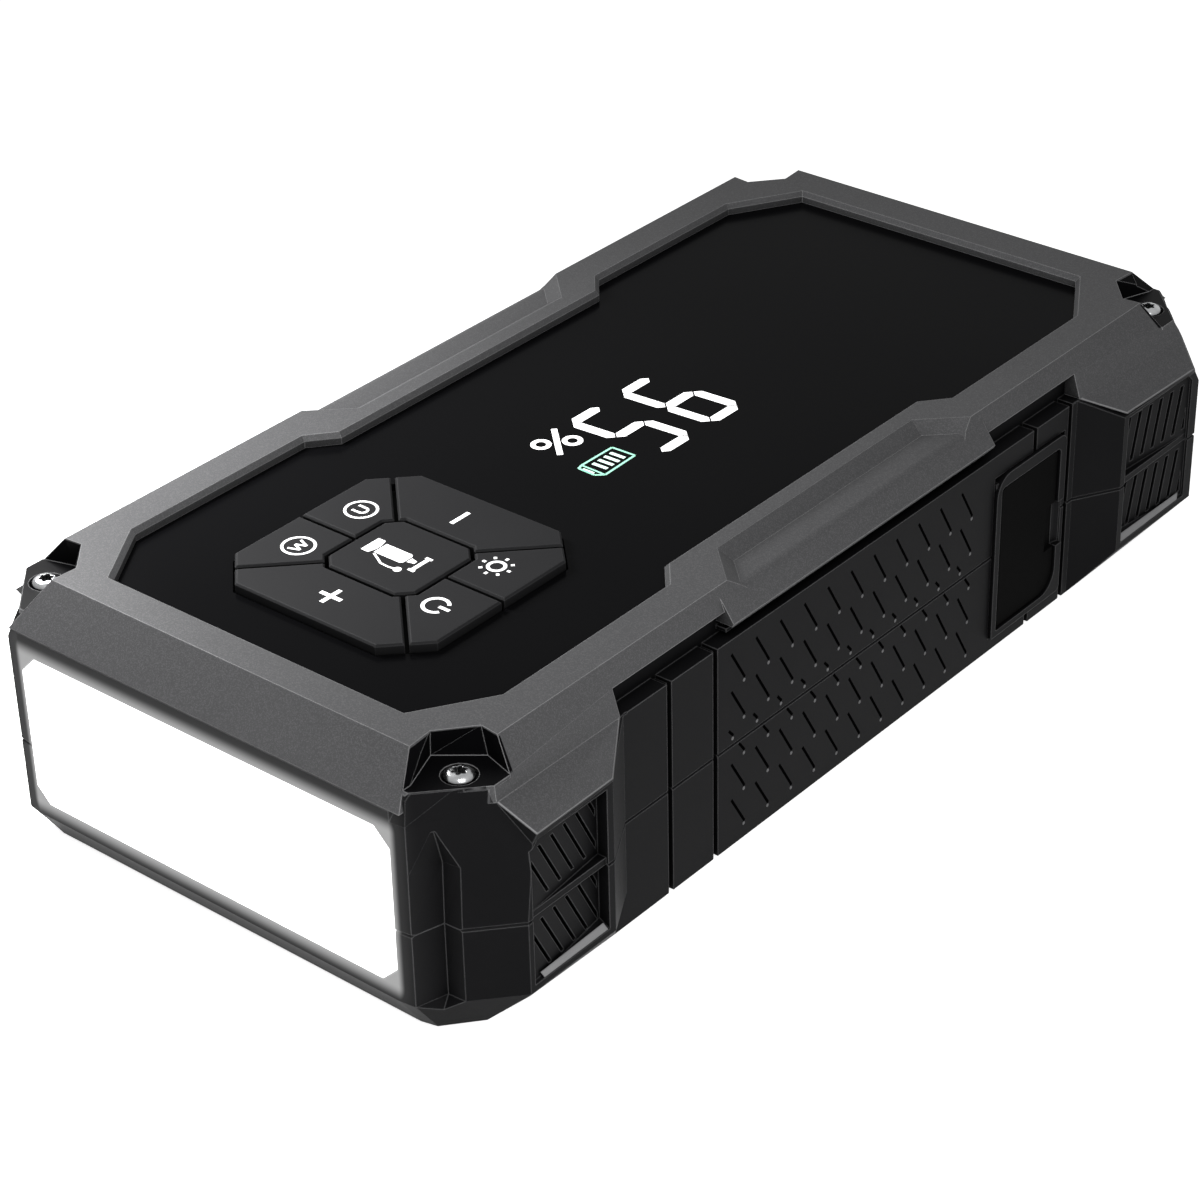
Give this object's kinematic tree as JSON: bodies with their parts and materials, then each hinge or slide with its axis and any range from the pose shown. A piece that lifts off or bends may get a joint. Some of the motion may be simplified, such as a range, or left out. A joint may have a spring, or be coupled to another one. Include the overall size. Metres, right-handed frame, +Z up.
{
  "type": "jump starter pack",
  "caption": "Car jump starter pack with tyre inflator, end lamp, keypad, digit display and a flap over the jump socket.",
  "frame": {"origin": "middle of the footprint, on the surface that the feet stand on", "axes": "+Z up, +Y from the lamp to the air outlet, +X to the side with the jump socket flap"},
  "size_m": [0.1166, 0.2196, 0.0507],
  "materials": {
    "case_black": "fine texture",
    "frame_gray": "satin, metallic sparkle",
    "panel_black": "gloss",
    "key_rubber": "matte",
    "flap_rubber": "matte",
    "foot_rubber": "matte",
    "lens_white": "opal, lit",
    "white_plastic": "satin",
    "screw_steel": "plated",
    "brass": "machined",
    "board_green": "solder mask",
    "cell_foil": "pouch foil",
    "tray_black": "moulded",
    "strap_yellow": "film tape",
    "cast_metal": "die cast",
    "motor_steel": "drawn",
    "gear_nylon": "moulded",
    "socket_blue": "moulded",
    "lead_red": "silicone",
    "lead_black": "silicone",
    "display_dark": "smoked"
  },
  "bodies": {
    "case": {"bottom_case": "case_black", "middle_case": "case_black", "top_frame": "frame_gray", "display_panel": "panel_black", "keypad_base": "key_rubber", "switch_board": "board_green", "switch_domes": "screw_steel", "display_module": "display_dark", "lamp_lens": "lens_white", "lamp_tray": "white_plastic", "lamp_leds": "white_plastic", "lamp_board": "board_green", "end_panel": "case_black", "usb_a_port": "screw_steel", "usb_c_port": "screw_steel", "port_frame": "case_black", "jump_socket": "socket_blue", "socket_contacts": "brass", "battery_cells": "cell_foil", "battery_tray": "tray_black", "battery_straps": "strap_yellow", "main_board": "board_green", "board_heatsink": "cast_metal", "positive_lead": "lead_red", "negative_lead": "lead_black", "motor_can": "motor_steel", "gear_bracket": "cast_metal", "cylinder_block": "cast_metal", "cylinder_head": "cast_metal", "air_tube": "tray_black", "air_outlet": "brass", "corner_screws": "screw_steel", "case_screws": "screw_steel", "rubber_feet": "foot_rubber"},
    "key_pump": {"key_pump": "key_rubber"},
    "key_plus": {"key_plus": "key_rubber"},
    "key_minus": {"key_minus": "key_rubber"},
    "key_mode_a": {"key_mode_a": "key_rubber"},
    "key_mode_b": {"key_mode_b": "key_rubber"},
    "key_light": {"key_light": "key_rubber"},
    "key_power": {"key_power": "key_rubber"},
    "port_flap": {"port_flap": "flap_rubber"},
    "motor_pinion": {"motor_pinion": "brass"},
    "crank_gear": {"crank_gear": "gear_nylon"}
  },
  "joints": [
    {"name": "key_pump_press", "type": "slide", "parent": "case", "child": "key_pump", "axis": [0, 0, -1], "range_m": [0, 0.0005], "stiffness_N_per_m": 600},
    {"name": "key_plus_press", "type": "slide", "parent": "case", "child": "key_plus", "axis": [0, 0, -1], "range_m": [0, 0.0005], "stiffness_N_per_m": 600},
    {"name": "key_minus_press", "type": "slide", "parent": "case", "child": "key_minus", "axis": [0, 0, -1], "range_m": [0, 0.0005], "stiffness_N_per_m": 600},
    {"name": "key_mode_a_press", "type": "slide", "parent": "case", "child": "key_mode_a", "axis": [0, 0, -1], "range_m": [0, 0.0005], "stiffness_N_per_m": 600},
    {"name": "key_mode_b_press", "type": "slide", "parent": "case", "child": "key_mode_b", "axis": [0, 0, -1], "range_m": [0, 0.0005], "stiffness_N_per_m": 600},
    {"name": "key_light_press", "type": "slide", "parent": "case", "child": "key_light", "axis": [0, 0, -1], "range_m": [0, 0.0005], "stiffness_N_per_m": 600},
    {"name": "key_power_press", "type": "slide", "parent": "case", "child": "key_power", "axis": [0, 0, -1], "range_m": [0, 0.0005], "stiffness_N_per_m": 600},
    {"name": "flap_hinge", "type": "hinge", "parent": "case", "child": "port_flap", "pos_m": [0.0504, 0.0419, 0.01985], "axis": [0, 0, -1], "range_deg": [0, 95]},
    {"name": "pinion_turn", "type": "hinge", "parent": "case", "child": "motor_pinion", "pos_m": [0, 0.015, 0.022], "axis": [1, 0, 0], "continuous": true},
    {"name": "crank_turn", "type": "hinge", "parent": "case", "child": "crank_gear", "pos_m": [0, 0.0358, 0.022], "axis": [1, 0, 0], "continuous": true}
  ],
  "couplings": [
    {"joint": "crank_turn", "follows": "pinion_turn", "ratio": -0.3}
  ]
}
